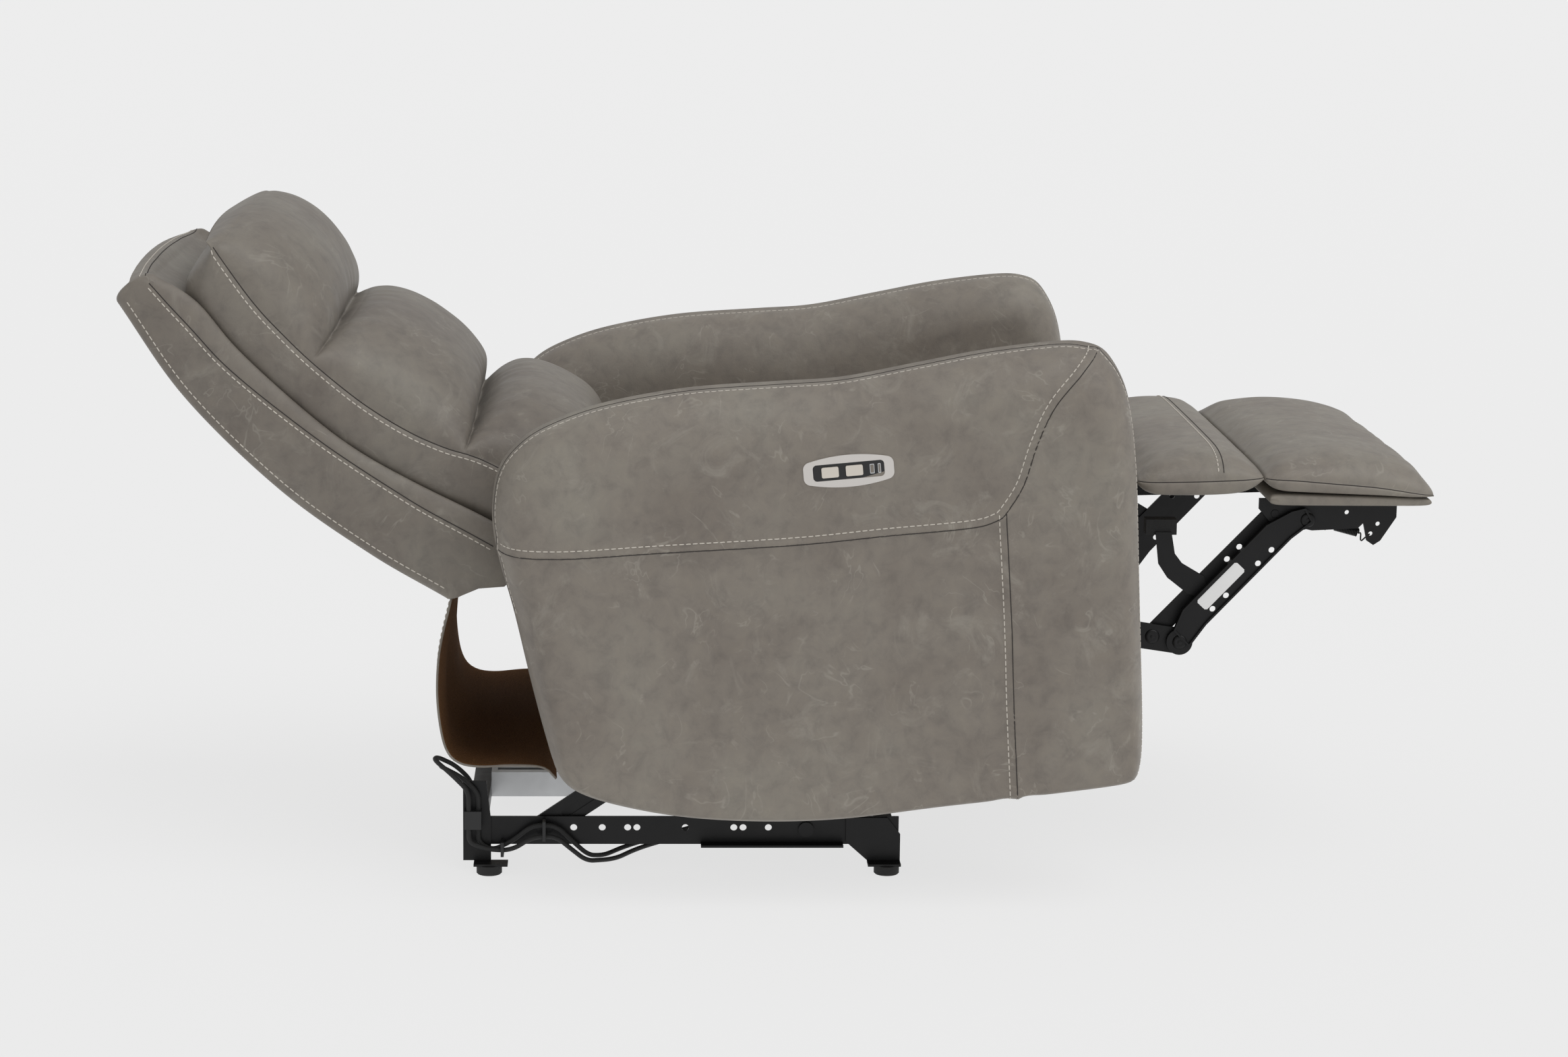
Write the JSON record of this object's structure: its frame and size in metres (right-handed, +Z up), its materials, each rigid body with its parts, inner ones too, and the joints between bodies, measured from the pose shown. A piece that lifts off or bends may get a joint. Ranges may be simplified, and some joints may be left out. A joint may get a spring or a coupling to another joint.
{
  "type": "recliner armchair",
  "caption": "Upholstered power recliner armchair, fully reclined with raised footrest, on a black steel wall-saving linkage base",
  "frame": {"origin": "on the floor, at the middle of the bounding box of the fully reclined chair", "axes": "+Z up, the sitter faces -Y, the sitter's right side with the control panel is -X"},
  "size_m": [0.9026, 1.679, 0.84],
  "materials": {
    "leather": "matte",
    "black_steel": "satin",
    "galvanised_steel": null,
    "plywood": null,
    "rubber": null,
    "black_plastic": null,
    "webbing": null,
    "satin_trim": "satin"
  },
  "bodies": {
    "base": {"base_rail_left": "black_steel", "base_rail_right": "black_steel", "base_legs": "black_steel", "rear_cross_tube": "black_steel", "front_cross_tube": "black_steel", "floor_glides": "rubber", "base_pivot_pins": "black_steel", "actuator_track": "galvanised_steel", "actuator_motor": "black_plastic", "wire_harness": "rubber", "harness_connector": "black_plastic", "cable_ties": "black_plastic"},
    "front_swing": {"front_swing_links": "black_steel"},
    "rear_swing": {"rear_swing_links": "black_steel"},
    "seat_body": {"seat_side_plate_left": "black_steel", "seat_side_plate_right": "black_steel", "swing_hangers": "black_steel", "seat_front_rail": "black_steel", "seat_rear_rail": "black_steel", "seat_springs": "galvanised_steel", "arm_board_left": "plywood", "arm_board_right": "plywood", "arm_left": "leather", "arm_right": "leather", "seat_cushion": "leather", "footrest_hinge_posts": "black_steel", "seat_pivot_studs": "black_steel", "control_bezel": "satin_trim", "control_insert": "black_plastic", "usb_sockets": "galvanised_steel", "rear_skirt": "leather"},
    "backrest": {"outer_back": "leather", "back_post_left": "plywood", "back_post_right": "plywood", "back_bottom_rail": "plywood", "back_top_rail": "plywood", "back_webbing": "webbing", "back_brackets": "black_steel", "head_cushion": "leather", "middle_back_cushion": "leather", "lower_back_cushion": "leather"},
    "footrest": {"footrest_board": "plywood", "calf_pad": "leather", "toe_pad": "leather", "footrest_bracket_left": "black_steel", "footrest_bracket_right": "black_steel", "footrest_hinge_straps": "black_steel", "footrest_springs": "black_steel"},
    "lower_links": {"lower_link_left": "black_steel", "lower_link_right": "black_steel", "torque_tube": "black_steel", "link_rivets": "black_steel"},
    "outer_links": {"outer_link_left": "black_steel", "outer_link_right": "black_steel"},
    "inner_links": {"inner_links": "black_steel", "support_arms": "black_steel", "support_blocks": "rubber"},
    "actuator_slider": {"actuator_slider": "black_plastic"},
    "button_open": {"button_open": "satin_trim"},
    "button_close": {"button_close": "satin_trim"}
  },
  "joints": [
    {"name": "body_swing", "type": "hinge", "parent": "base", "child": "front_swing", "pos_m": [0, -0.037, 0.056], "axis": [1, 0, 0], "range_deg": [-125, 0]},
    {"name": "body_level", "type": "hinge", "parent": "front_swing", "child": "seat_body", "pos_m": [0, -0.12126, 0.12671], "axis": [1, 0, 0], "range_deg": [0, 129]},
    {"name": "rear_swing", "type": "hinge", "parent": "base", "child": "rear_swing", "pos_m": [0, 0.303, 0.057], "axis": [1, 0, 0], "range_deg": [-122, 0]},
    {"name": "back_recline", "type": "hinge", "parent": "seat_body", "child": "backrest", "pos_m": [0, 0.32, 0.395], "axis": [1, 0, 0], "range_deg": [0, 33], "deforming": ["rear_skirt"]},
    {"name": "actuator_travel", "type": "slide", "parent": "base", "child": "actuator_slider", "axis": [0, 1, 0], "range_m": [0, 0.19]},
    {"name": "footrest_fold", "type": "hinge", "parent": "seat_body", "child": "footrest", "pos_m": [0, -0.448, 0.5], "axis": [1, 0, 0], "range_deg": [0, 90]},
    {"name": "lower_link_fold", "type": "hinge", "parent": "seat_body", "child": "lower_links", "pos_m": [0, -0.293, 0.337], "axis": [1, 0, 0], "range_deg": [0, 90]},
    {"name": "outer_link_fold", "type": "hinge", "parent": "lower_links", "child": "outer_links", "pos_m": [0, -0.521, 0.303], "axis": [1, 0, 0], "range_deg": [-90, 0]},
    {"name": "inner_link_fold", "type": "hinge", "parent": "lower_links", "child": "inner_links", "pos_m": [0, -0.486, 0.309], "axis": [1, 0, 0], "range_deg": [-90, 0]},
    {"name": "button_open_press", "type": "slide", "parent": "seat_body", "child": "button_open", "axis": [1, 0, 0], "range_m": [0, 0.0015], "stiffness_N_per_m": 300},
    {"name": "button_close_press", "type": "slide", "parent": "seat_body", "child": "button_close", "axis": [1, 0, 0], "range_m": [0, 0.0015], "stiffness_N_per_m": 300}
  ],
  "couplings": [
    {"joint": "body_swing", "follows": "body_level", "ratio": -0.96899},
    {"joint": "rear_swing", "follows": "body_level", "ratio": -0.94248},
    {"joint": "back_recline", "follows": "body_level", "ratio": 0.25581},
    {"joint": "actuator_travel", "follows": "body_level", "m_per_rad": 0.084388},
    {"joint": "lower_link_fold", "follows": "footrest_fold", "ratio": 1},
    {"joint": "outer_link_fold", "follows": "footrest_fold", "ratio": -1},
    {"joint": "inner_link_fold", "follows": "footrest_fold", "ratio": -1}
  ]
}
